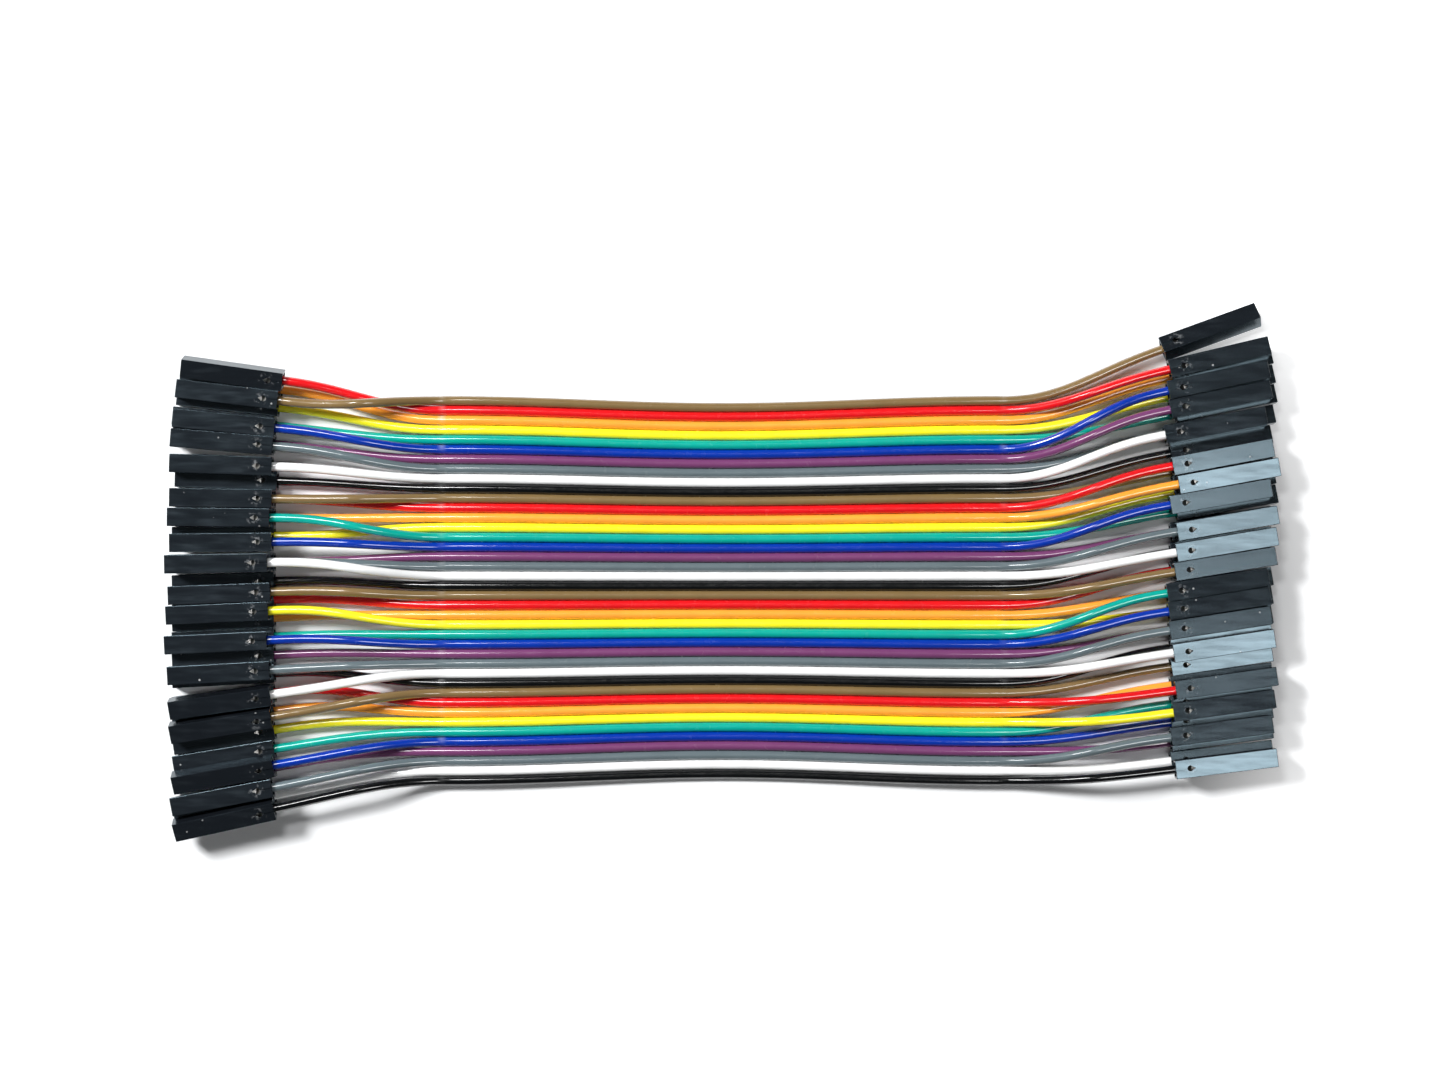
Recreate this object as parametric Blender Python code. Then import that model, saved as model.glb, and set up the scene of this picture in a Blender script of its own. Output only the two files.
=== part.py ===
"""Forty-way rainbow ribbon of breadboard jumper wires with a one-way socket on each wire end.

Metres, +Z up, the ribbon runs along X and lies on z = 0.  The forty insulated wires are bonded
side by side in the middle and peel apart towards both ends.  Each end carries a black socket
housing with a crimped contact in it.  The housings of one end lie in a pile two layers high:
an upper row on top of a lower row.  Neighbours that bear on each other are joined into blocks.
"""
import math
from dataclasses import dataclass

import bmesh
import bpy
from mathutils import Matrix, Vector

MM = 0.001

# Socket housing, measured along its own axis from the wire end to the mouth
HOUSING_LENGTH = 14.0 * MM
HOUSING_WIDTH = 2.54 * MM
HOUSING_WALL = 0.32 * MM
FRONT_WALL = 0.9 * MM
MOUTH_WIDTH = 1.0 * MM
WINDOW_START = 1.6 * MM
WINDOW_LENGTH = 1.1 * MM
WINDOW_WIDTH = 0.8 * MM
SLIT_WIDTH = 0.2 * MM

# Crimped contact, a square sleeve held between the floor and the roof of the housing
CONTACT_START = 1.5 * MM
CONTACT_WIDTH = 1.5 * MM
CONTACT_BORE = 0.95 * MM
CONTACT_FRONT_GAP = 0.15 * MM

# Wires and ribbon
WIRE_COUNT = 40
WIRE_DIAMETER = 1.26 * MM
WIRE_GAP_MIDDLE = 0.032 * MM
WIRE_GAP_END = 0.078 * MM
WIRE_TO_CONTACT_GAP = 0.2 * MM
WIRE_SIDE_STEPS = 2
RIBBON_CENTRE_Y = -2.85 * MM
BOND_HALF_LENGTH = 37.2 * MM
FLOOR_GAP = 0.04 * MM
RIBBON_MIDDLE_HEIGHT = WIRE_DIAMETER / 2 + FLOOR_GAP
RIBBON_END_HEIGHT = 1.3 * MM
RISE_SHARE = 0.6
FAN_STEPS = 5

# Piles of housings
PILE_HALF_SPAN = 61.5 * MM
LEFT_PILE_TOP = 27.7 * MM
RIGHT_PILE_TOP = 32.5 * MM
SEAM = 0.04 * MM
BLOCK_GAP = 0.06 * MM

PLASTIC_BLACK = (0.01, 0.012, 0.016)
COLOURS = {
    "brown": (0.2, 0.13, 0.052),
    "red": (0.7, 0.006, 0.01),
    "orange": (0.98, 0.36, 0.04),
    "yellow": (0.95, 0.87, 0.02),
    "green": (0.002, 0.37, 0.29),
    "blue": (0.001, 0.035, 0.36),
    "purple": (0.17, 0.045, 0.14),
    "grey": (0.115, 0.15, 0.165),
    "white": (0.92, 0.93, 0.93),
    "black": (0.003, 0.004, 0.005),
}
COLOUR_ORDER = list(COLOURS)


@dataclass
class Socket:
    """One housing in a row of a block: its wire, its place in the row and how it is turned.

    lead is the free space to the housing before it, yaw lifts the mouth towards +Y, roll shows
    more of the +Y side, and reach moves the wire end towards the ribbon.
    """

    wire: int
    lead: float = 0.0
    yaw: float = 0.0
    roll: float = 0.0
    reach: float = 0.0


@dataclass
class Block:
    """Neighbouring housings that bear on each other, in rows from the floor up."""

    rows: list


@dataclass
class Seat:
    """A placed housing: the centre of its wire end, and its turns in radians."""

    side: int
    x: float
    y: float
    z: float
    yaw: float
    roll: float
    half_plan: float

    def matrix(self):
        """Place the housing's own frame: x from the wire end to the mouth, z through the window."""
        turn = self.yaw if self.side > 0 else math.pi - self.yaw
        place = Matrix.Translation((self.x, self.y, self.z))
        return place @ Matrix.Rotation(turn, 4, "Z") @ Matrix.Rotation(self.side * self.roll, 4, "X")

    def lower_edge(self, reach_x):
        """Y of the side towards -Y, at a distance from the middle of the ribbon."""
        run = reach_x - abs(self.x)
        return self.y + math.tan(self.yaw) * run - self.half_plan / math.cos(self.yaw)


# Both piles from +Y to -Y, lead and reach in millimetres, yaw and roll in degrees
LEFT_BLOCKS = [
    Block([
        [Socket(3, 1.5, 7.0, 0.0, 1.0), Socket(4, 0.0, 6.4, 0.0, 0.6)],
        [Socket(2, 0.0, 8.0, 16.0, 1.5), Socket(1, 0.0, 6.8, 0.0, 0.8)],
    ]),
    Block([
        [Socket(5, 0.0, 5.8), Socket(7, 0.0, 5.2)],
        [Socket(6, 0.3, 5.6, 0.0, 0.4), Socket(8, 0.0, 4.8, 0.0, 0.1)],
    ]),
    Block([
        [Socket(10, 2.1, 1.8, 0.0, 0.4), Socket(12, 0.0, 0.8)],
        [Socket(9, 0.2, 2.0), Socket(11, 1.9, 0.8)],
    ]),
    Block([
        [Socket(13, 0.0, 0.6), Socket(14, 0.0, 0.0)],
        [Socket(15, 0.0, 0.5, 0.0, -0.3), Socket(16, 0.8, -0.6)],
    ]),
    Block([
        [Socket(17, 0.2, -0.8)],
        [Socket(18, 0.2, -0.8, 0.0, -0.1)],
        [Socket(19, 0.2, -1.0, 0.0, -0.3)],
    ]),
    Block([
        [Socket(20, 0.0, -1.8), Socket(22, 0.0, -2.2), Socket(23, 0.0, -2.6)],
        [Socket(21, 1.4, -2.2, 0.0, -0.2), Socket(24, 0.1, -2.6, 0.0, -0.5)],
    ]),
    Block([
        [Socket(25, 0.0, -2.6), Socket(27, 0.0, -2.8), Socket(30, 0.0, -3.2)],
        [Socket(26, 0.4, -2.8, 0.0, -0.7), Socket(28, 1.6, -3.2, 0.0, -0.3)],
    ]),
    Block([
        [Socket(32, 0.1, -7.4), Socket(33, 0.0, -8.2), Socket(34, 0.0, -9.0)],
        [Socket(29, 0.0, -8.0, 12.0, -0.2), Socket(31, 0.0, -9.0, 14.0, -0.1)],
    ]),
    Block([
        [Socket(35, 0.0, -9.2), Socket(37, 0.0, -10.0)],
        [Socket(36, 1.8, -10.0, 18.0, 0.2)],
    ]),
    Block([
        [Socket(39, 1.2, -11.0)],
        [Socket(38, 0.0, -10.8), Socket(40, 0.0, -12.4, 17.0, 0.3)],
    ]),
]
RIGHT_BLOCKS = [
    Block([[Socket(1, 0.0, 20.0, -24.0, 1.2)]]),
    Block([
        [Socket(3, 1.2, 12.6, 0.0, -0.1), Socket(4, 0.0, 12.0, 0.0, -0.4), Socket(5, 0.0, 11.4, 0.0, -0.6)],
        [Socket(2, 0.0, 13.4, 0.0, 0.5), Socket(6, 0.3, 12.0, 0.0, 0.7), Socket(7, 0.1, 11.4, 0.0, 0.4)],
    ]),
    Block([
        [Socket(8, 0.0, 11.0, 0.0, -0.4)],
        [Socket(9, 0.0, 11.0, 0.0, 1.1)],
    ]),
    Block([
        [Socket(10, 0.0, 10.7), Socket(11, 0.0, 10.4), Socket(14, 0.4, 10.1, 0.0, -0.4), Socket(15, 0.1, 9.9, 0.0, -0.7)],
        [Socket(12, 1.8, 10.6, 0.0, 0.1), Socket(13, 0.1, 10.3, 0.0, -0.7), Socket(16, 0.1, 9.9, 0.0, 0.4)],
    ]),
    Block([
        [Socket(17, 0.1, 9.7)],
        [Socket(18, 0.1, 9.7, 0.0, -0.5)],
    ]),
    Block([
        [Socket(20, 0.1, 9.4), Socket(22, 0.0, 9.2)],
        [Socket(19, 0.2, 9.4, 0.0, -0.4), Socket(21, 0.1, 9.2, 0.0, -0.2)],
    ]),
    Block([
        [Socket(23, 0.1, 9.0), Socket(24, 0.0, 8.9)],
        [Socket(25, 0.1, 9.0, 0.0, 0.85), Socket(26, 0.0, 8.8, 0.0, 0.62)],
    ]),
    Block([
        [Socket(27, 0.0, 8.7), Socket(30, 0.0, 8.6), Socket(31, 0.0, 8.4)],
        [Socket(28, 0.0, 8.7, 0.0, 0.5), Socket(29, 0.6, 8.6)],
    ]),
    Block([
        [Socket(33, 0.0, 8.0), Socket(35, 0.0, 7.8), Socket(36, 0.0, 7.6), Socket(37, 0.2, 7.4)],
        [Socket(32, 0.6, 8.0, 0.0, -0.3), Socket(34, 0.5, 7.8), Socket(38, 0.8, 7.5, 0.0, 0.3)],
    ]),
    Block([
        [Socket(39, 0.0, 7.0)],
        [Socket(40, 1.0, 7.0, 0.0, -0.3)],
    ]),
]

# Wires that cross a neighbour on their way to the pile, and how far they arch or duck there
LEFT_ARCHES = {1: 1.5 * MM, 2: -1.1 * MM, 15: 0.4 * MM, 29: 0.3 * MM, 31: 0.4 * MM}
RIGHT_ARCHES = {5: -0.2 * MM, 6: 0.6 * MM, 25: 0.4 * MM}


def clear_scene():
    """Remove what the scene holds."""
    for old in list(bpy.data.objects):
        bpy.data.objects.remove(old, do_unlink=True)


def make_material(name, colour, roughness, metallic=0.0):
    """Make a Principled material."""
    material = bpy.data.materials.new(name)
    material.use_nodes = True
    shader = material.node_tree.nodes["Principled BSDF"]
    shader.inputs["Base Color"].default_value = (*colour, 1.0)
    shader.inputs["Roughness"].default_value = roughness
    shader.inputs["Metallic"].default_value = metallic
    return material


def seat_below(side, socket, layer_z, neighbours, gap):
    """Seat a housing on the -Y side of its neighbours, with a gap at the tightest corner."""
    yaw = math.radians(socket.yaw)
    roll = math.radians(socket.roll)
    half = HOUSING_WIDTH / 2 * (math.cos(roll) + abs(math.sin(roll)))
    end_x = PILE_HALF_SPAN - socket.reach * MM
    places = []
    for other in neighbours:
        tight_x = max(end_x, abs(other.x))
        limit = other.lower_edge(tight_x) - gap
        places.append(limit - half / math.cos(yaw) - math.tan(yaw) * (tight_x - end_x))
    y = min(places) - socket.lead * MM
    return Seat(side, side * end_x, y, layer_z + half, yaw, roll, half)


def seat_row(side, sockets, layer_z, before):
    """Seat the housings of one row of a block, each against the one before it."""
    seats = {}
    neighbours = before
    gap = BLOCK_GAP
    for socket in sockets:
        seat = seat_below(side, socket, layer_z, neighbours, gap)
        seats[socket.wire] = seat
        neighbours = [seat]
        gap = -SEAM
    return seats


def seat_pile(side, top_y, blocks):
    """Seat the blocks of one pile, and give the seats of each block by wire number."""
    edge = Seat(side, side * PILE_HALF_SPAN, top_y + BLOCK_GAP, 0.0, 0.0, 0.0, 0.0)
    before = [edge]
    pile = []
    for block in blocks:
        layer_z = 0.0
        seated = []
        for row in block.rows:
            seated.append(seat_row(side, row, layer_z, before))
            layer_z += HOUSING_WIDTH - SEAM
        pile.append({wire: seat for row in seated for wire, seat in row.items()})
        before = [list(row.values())[-1] for row in seated]
    return pile


def square_ring(x, half_y, half_z):
    """Give the four corners of a rectangle across the housing's axis."""
    return [(x, -half_y, -half_z), (x, half_y, -half_z), (x, half_y, half_z), (x, -half_y, half_z)]


def ring_solid(name, rings):
    """Make a closed solid by joining each ring to the next, and the last one to the first."""
    points = [point for ring in rings for point in ring]
    faces = []
    for index in range(len(rings)):
        here = index * 4
        there = (index + 1) % len(rings) * 4
        for corner in range(4):
            after = (corner + 1) % 4
            faces.append((here + corner, here + after, there + after, there + corner))
    mesh = bpy.data.meshes.new(name)
    mesh.from_pydata(points, [], faces)
    shape = bmesh.new()
    shape.from_mesh(mesh)
    bmesh.ops.recalc_face_normals(shape, faces=shape.faces)
    shape.to_mesh(mesh)
    shape.free()
    return mesh


def combine(name, base, others, operation):
    """Join meshes into the base mesh, or cut them from it, and give the result."""
    target = bpy.data.objects.new(name, base)
    bpy.context.scene.collection.objects.link(target)
    helpers = []
    for index, mesh in enumerate(others):
        helper = bpy.data.objects.new(f"{name}_{index}", mesh)
        bpy.context.scene.collection.objects.link(helper)
        modifier = target.modifiers.new("combine", "BOOLEAN")
        modifier.operation = operation
        modifier.solver = "EXACT"
        modifier.object = helper
        helpers.append(helper)
    bpy.context.view_layer.update()
    evaluated = target.evaluated_get(bpy.context.evaluated_depsgraph_get())
    result = bpy.data.meshes.new_from_object(evaluated)
    for helper in [target, *helpers]:
        bpy.data.objects.remove(helper, do_unlink=True)
    return result


def housing_shell():
    """Make the hollow housing: a square box with a pin mouth at the front and an open wire end."""
    outer = HOUSING_WIDTH / 2
    mouth = MOUTH_WIDTH / 2
    cavity = HOUSING_WIDTH / 2 - HOUSING_WALL
    shoulder = HOUSING_LENGTH - FRONT_WALL
    return ring_solid("shell", [
        square_ring(0.0, outer, outer),
        square_ring(HOUSING_LENGTH, outer, outer),
        square_ring(HOUSING_LENGTH, mouth, mouth),
        square_ring(shoulder, mouth, mouth),
        square_ring(shoulder, cavity, cavity),
        square_ring(0.0, cavity, cavity),
    ])


def latch_window():
    """Make the cutter of the latch window and of the slit from it to the wire end."""
    roof = HOUSING_WIDTH / 2 + HOUSING_WALL
    ceiling = HOUSING_WIDTH / 2 - 1.5 * HOUSING_WALL
    slit = SLIT_WIDTH / 2
    across = WINDOW_WIDTH / 2
    tip = WINDOW_START + WINDOW_LENGTH
    shoulder = WINDOW_START + WINDOW_LENGTH / 2
    outline = [
        (-HOUSING_WALL, -slit),
        (WINDOW_START, -slit),
        (WINDOW_START, -across),
        (shoulder, -across),
        (tip, -slit),
        (tip, slit),
        (shoulder, across),
        (WINDOW_START, across),
        (WINDOW_START, slit),
        (-HOUSING_WALL, slit),
    ]
    cutter = bmesh.new()
    low = [cutter.verts.new((x, y, ceiling)) for x, y in outline]
    high = [cutter.verts.new((x, y, roof)) for x, y in outline]
    cutter.faces.new(reversed(low))
    cutter.faces.new(high)
    for index in range(len(outline)):
        after = (index + 1) % len(outline)
        cutter.faces.new((low[index], low[after], high[after], high[index]))
    mesh = bpy.data.meshes.new("window")
    cutter.to_mesh(mesh)
    cutter.free()
    return mesh


def contact_sleeve():
    """Make the contact: a square sleeve that ends a little behind the front wall."""
    across = CONTACT_WIDTH / 2
    tall = HOUSING_WIDTH / 2 - HOUSING_WALL + SEAM
    bore = CONTACT_BORE / 2
    front = HOUSING_LENGTH - FRONT_WALL - CONTACT_FRONT_GAP
    return ring_solid("contact", [
        square_ring(CONTACT_START, across, tall),
        square_ring(front, across, tall),
        square_ring(front, bore, bore),
        square_ring(CONTACT_START, bore, bore),
    ])


def make_socket_mesh():
    """Make one housing with its latch window and its contact, in its own frame."""
    open_shell = combine("open_shell", housing_shell(), [latch_window()], "DIFFERENCE")
    return combine("socket", open_shell, [contact_sleeve()], "UNION")


def make_block(name, socket_mesh, seats, material):
    """Join the housings of one block into one solid."""
    parts = []
    for seat in seats.values():
        part = socket_mesh.copy()
        part.transform(seat.matrix())
        parts.append(part)
    mesh = combine(name, parts[0], parts[1:], "UNION")
    mesh.materials.clear()
    mesh.materials.append(material)
    block = bpy.data.objects.new(name, mesh)
    bpy.context.scene.collection.objects.link(block)
    return block


def ribbon_y(wire, gap):
    """Give the place of a wire across the ribbon, where its wires lie that gap apart."""
    return RIBBON_CENTRE_Y + ((WIRE_COUNT + 1) / 2 - wire) * (WIRE_DIAMETER + gap)


def smooth_step(share):
    """Rise from 0 to 1 with a level start and end."""
    share = min(max(share, 0.0), 1.0)
    return share * share * (3.0 - 2.0 * share)


def fan_point(seat, wire, share, arch):
    """Give a point of the peeled stretch: share 0 is the end of the bond, 1 the housing."""
    start_x = BOND_HALF_LENGTH
    end_x = abs(seat.x)
    run = end_x - start_x
    cross = share ** 3 * (10.0 - 15.0 * share + 6.0 * share ** 2)
    lean = share ** 3 * (-4.0 + 7.0 * share - 3.0 * share ** 2)
    start_y = ribbon_y(wire, WIRE_GAP_END)
    y = start_y + (seat.y - start_y) * cross + math.tan(seat.yaw) * run * lean
    rise = smooth_step(share / RISE_SHARE)
    z = RIBBON_END_HEIGHT + (seat.z - RIBBON_END_HEIGHT) * rise
    z += arch * math.sin(math.pi * share) ** 2
    return Vector((seat.side * (start_x + run * share), y, z))


def inside_point(seat):
    """Give the end of the wire, inside its housing and short of the contact."""
    depth = CONTACT_START - WIRE_TO_CONTACT_GAP
    return seat.matrix() @ Vector((depth, 0.0, 0.0))


def wire_route(wire, left, right):
    """Give the route of a wire from one housing to the other."""
    shares = [step / FAN_STEPS for step in range(FAN_STEPS + 1)]
    outward_left = [fan_point(left, wire, share, LEFT_ARCHES.get(wire, 0.0)) for share in shares]
    outward_right = [fan_point(right, wire, share, RIGHT_ARCHES.get(wire, 0.0)) for share in shares]
    middle = Vector((0.0, ribbon_y(wire, WIRE_GAP_MIDDLE), RIBBON_MIDDLE_HEIGHT))
    return [
        inside_point(left),
        *reversed(outward_left),
        middle,
        *outward_right,
        inside_point(right),
    ]


def make_wire(name, route, material):
    """Make a wire as a round tube with closed ends along its route."""
    curve = bpy.data.curves.new(name, "CURVE")
    curve.dimensions = "3D"
    curve.bevel_depth = WIRE_DIAMETER / 2
    curve.bevel_resolution = WIRE_SIDE_STEPS
    curve.use_fill_caps = True
    spline = curve.splines.new("POLY")
    spline.points.add(len(route) - 1)
    for point, place in zip(spline.points, route):
        point.co = (*place, 1.0)
    spline.use_smooth = True
    curve.materials.append(material)
    wire = bpy.data.objects.new(name, curve)
    bpy.context.scene.collection.objects.link(wire)
    return wire


def centre_object():
    """Move everything so that the middle of the piles' outline lies on the Z axis."""
    meshes = [item.data for item in bpy.context.scene.objects if item.type == "MESH"]
    xs = [vertex.co.x for mesh in meshes for vertex in mesh.vertices]
    ys = [vertex.co.y for mesh in meshes for vertex in mesh.vertices]
    middle = Vector(((min(xs) + max(xs)) / 2, (min(ys) + max(ys)) / 2, 0.0))
    for item in bpy.context.scene.objects:
        item.data.transform(Matrix.Translation(-middle))


def build():
    """Build both piles of housings and the forty wires between them."""
    clear_scene()
    plastic = make_material("socket_plastic", PLASTIC_BLACK, 0.35)
    socket_mesh = make_socket_mesh()
    left_pile = seat_pile(-1, LEFT_PILE_TOP, LEFT_BLOCKS)
    right_pile = seat_pile(1, RIGHT_PILE_TOP, RIGHT_BLOCKS)
    for side_name, pile in (("left", left_pile), ("right", right_pile)):
        for number, seats in enumerate(pile, start=1):
            make_block(f"housings_{side_name}_{number:02d}", socket_mesh, seats, plastic)
    left_seats = {wire: seat for seats in left_pile for wire, seat in seats.items()}
    right_seats = {wire: seat for seats in right_pile for wire, seat in seats.items()}
    insulation = {name: make_material(f"pvc_{name}", colour, 0.3) for name, colour in COLOURS.items()}
    for wire in range(1, WIRE_COUNT + 1):
        colour = COLOUR_ORDER[(wire - 1) % len(COLOUR_ORDER)]
        route = wire_route(wire, left_seats[wire], right_seats[wire])
        make_wire(f"wire_{wire:02d}_{colour}", route, insulation[colour])
    centre_object()


build()
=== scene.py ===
"""Looks of a forty-way rainbow ribbon of breadboard jumper wires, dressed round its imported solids.

The wires are bonded side by side in the middle of the ribbon and peel apart at both ends, where
each one enters a black socket housing.  The housings lie in two uneven piles.
"""

import logging
import math
from dataclasses import dataclass, field, replace
from enum import Enum

import bpy
import numpy as np
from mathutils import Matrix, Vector


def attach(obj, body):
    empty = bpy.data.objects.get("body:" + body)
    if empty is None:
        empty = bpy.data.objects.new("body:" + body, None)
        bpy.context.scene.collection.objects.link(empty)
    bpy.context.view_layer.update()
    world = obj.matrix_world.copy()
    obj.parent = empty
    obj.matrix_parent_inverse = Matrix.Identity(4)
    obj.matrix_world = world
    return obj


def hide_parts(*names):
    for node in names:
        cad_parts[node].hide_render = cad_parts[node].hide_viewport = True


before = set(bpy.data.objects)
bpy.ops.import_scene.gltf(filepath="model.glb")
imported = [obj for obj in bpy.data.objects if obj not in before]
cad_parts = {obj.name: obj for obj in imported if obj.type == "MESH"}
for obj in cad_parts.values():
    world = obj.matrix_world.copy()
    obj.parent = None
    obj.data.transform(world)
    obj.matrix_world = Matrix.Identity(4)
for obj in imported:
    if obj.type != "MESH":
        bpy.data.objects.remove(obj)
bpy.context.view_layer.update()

LOG = logging.getLogger("jumper_ribbon")
MM = 0.001


class Side(Enum):
    """The end of the ribbon that a pile of housings lies at."""

    LEFT = -1
    RIGHT = 1


class Insulation(Enum):
    """The insulation colours in the order in which they repeat across the ribbon."""

    BROWN = 0
    RED = 1
    ORANGE = 2
    YELLOW = 3
    GREEN = 4
    BLUE = 5
    PURPLE = 6
    GREY = 7
    WHITE = 8
    BLACK = 9

    @staticmethod
    def of_wire(wire: int) -> "Insulation":
        """The colour of a wire, by its number from one."""
        return Insulation((wire - 1) % len(Insulation))


@dataclass(frozen=True)
class SocketSizes:
    """Sizes of one socket housing and of the contact inside it, in metres."""

    length: float = 14.0 * MM
    width: float = 2.54 * MM
    wall: float = 0.32 * MM
    front_wall: float = 0.9 * MM
    mouth: float = 1.0 * MM
    window_start: float = 1.6 * MM
    window_length: float = 1.1 * MM
    window_width: float = 0.8 * MM
    slit_width: float = 0.2 * MM
    edge: float = 0.07 * MM
    inner_edge: float = 0.05 * MM
    lead_in: float = 0.28 * MM
    sleeve_start: float = 5.2 * MM
    sleeve_play: float = 0.1 * MM


@dataclass(frozen=True)
class WireSizes:
    """Sizes of the wires and of the bonded ribbon, in metres."""

    count: int = 40
    diameter: float = 1.26 * MM
    gap_middle: float = 0.032 * MM
    gap_end: float = 0.078 * MM
    centre_y: float = -2.85 * MM
    bond_half: float = 37.2 * MM
    film_half: float = 38.5 * MM
    film_fade: float = 0.4 * MM
    film_press: float = 0.004 * MM
    middle_z: float = 0.67 * MM
    end_z: float = 1.3 * MM
    rise_share: float = 0.6
    end_depth: float = 1.3 * MM

    def gap(self, lift: np.ndarray | float) -> np.ndarray | float:
        """Space between neighbouring wires, with lift 0 in the middle of the ribbon and 1 at its ends."""
        return self.gap_middle + (self.gap_end - self.gap_middle) * lift


SOCKET = SocketSizes()
WIRE = WireSizes()


@dataclass(frozen=True)
class Place:
    """Where one housing lies in its row, as the part's source has it.

    lead is the free space before it in millimetres, yaw and roll are in degrees, and reach moves
    the wire end towards the ribbon in millimetres.
    """

    wire: int
    lead: float = 0.0
    yaw: float = 0.0
    roll: float = 0.0
    reach: float = 0.0


@dataclass(frozen=True)
class Seat:
    """A placed housing: the middle of its wire end and its turns in radians."""

    side: Side
    x: float
    y: float
    z: float
    yaw: float = 0.0
    roll: float = 0.0
    half_plan: float = 0.0

    def lower_edge(self, reach_x: float) -> float:
        """Y of the side towards -Y, at a distance from the middle of the ribbon."""
        run = reach_x - abs(self.x)
        return self.y + math.tan(self.yaw) * run - self.half_plan / math.cos(self.yaw)

    def axes(self) -> np.ndarray:
        """The housing's own axes as columns: along it, across it and up through its window."""
        turn = self.yaw if self.side is Side.RIGHT else math.pi - self.yaw
        lean = self.side.value * self.roll
        about_z = np.array([
            [math.cos(turn), -math.sin(turn), 0.0],
            [math.sin(turn), math.cos(turn), 0.0],
            [0.0, 0.0, 1.0],
        ])
        about_x = np.array([
            [1.0, 0.0, 0.0],
            [0.0, math.cos(lean), -math.sin(lean)],
            [0.0, math.sin(lean), math.cos(lean)],
        ])
        return about_z @ about_x

    def leaning(self, lean: float) -> "Seat":
        """The same seat rolled further by an angle in radians, and lifted to clear what it lies on."""
        lift = SOCKET.width / 2 * (abs(math.sin(lean)) + math.cos(lean) - 1.0)
        return replace(self, roll=self.roll + lean, z=self.z + lift)

    def to_world(self, points: np.ndarray) -> np.ndarray:
        """Carry points from the housing's own frame to the pile.

        Args:
            points: rows of x, y, z, with x from the wire end towards the mouth.

        Returns:
            The same rows in the pile's frame.
        """
        return points @ self.axes().T + np.array([self.x, self.y, self.z])


LEFT_BLOCKS = (
    (
        (Place(3, 1.5, 7.0, 0.0, 1.0), Place(4, 0.0, 6.4, 0.0, 0.6)),
        (Place(2, 0.0, 8.0, 16.0, 1.5), Place(1, 0.0, 6.8, 0.0, 0.8)),
    ),
    (
        (Place(5, 0.0, 5.8), Place(7, 0.0, 5.2)),
        (Place(6, 0.3, 5.6, 0.0, 0.4), Place(8, 0.0, 4.8, 0.0, 0.1)),
    ),
    ((Place(10, 2.1, 1.8, 0.0, 0.4), Place(12, 0.0, 0.8)), (Place(9, 0.2, 2.0), Place(11, 1.9, 0.8))),
    ((Place(13, 0.0, 0.6), Place(14)), (Place(15, 0.0, 0.5, 0.0, -0.3), Place(16, 0.8, -0.6))),
    ((Place(17, 0.2, -0.8),), (Place(18, 0.2, -0.8, 0.0, -0.1),), (Place(19, 0.2, -1.0, 0.0, -0.3),)),
    (
        (Place(20, 0.0, -1.8), Place(22, 0.0, -2.2), Place(23, 0.0, -2.6)),
        (Place(21, 1.4, -2.2, 0.0, -0.2), Place(24, 0.1, -2.6, 0.0, -0.5)),
    ),
    (
        (Place(25, 0.0, -2.6), Place(27, 0.0, -2.8), Place(30, 0.0, -3.2)),
        (Place(26, 0.4, -2.8, 0.0, -0.7), Place(28, 1.6, -3.2, 0.0, -0.3)),
    ),
    (
        (Place(32, 0.1, -7.4), Place(33, 0.0, -8.2), Place(34, 0.0, -9.0)),
        (Place(29, 0.0, -8.0, 12.0, -0.2), Place(31, 0.0, -9.0, 14.0, -0.1)),
    ),
    ((Place(35, 0.0, -9.2), Place(37, 0.0, -10.0)), (Place(36, 1.8, -10.0, 18.0, 0.2),)),
    ((Place(39, 1.2, -11.0),), (Place(38, 0.0, -10.8), Place(40, 0.0, -12.4, 17.0, 0.3))),
)
LEFT_PILE_TOP = 27.7 * MM
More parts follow.
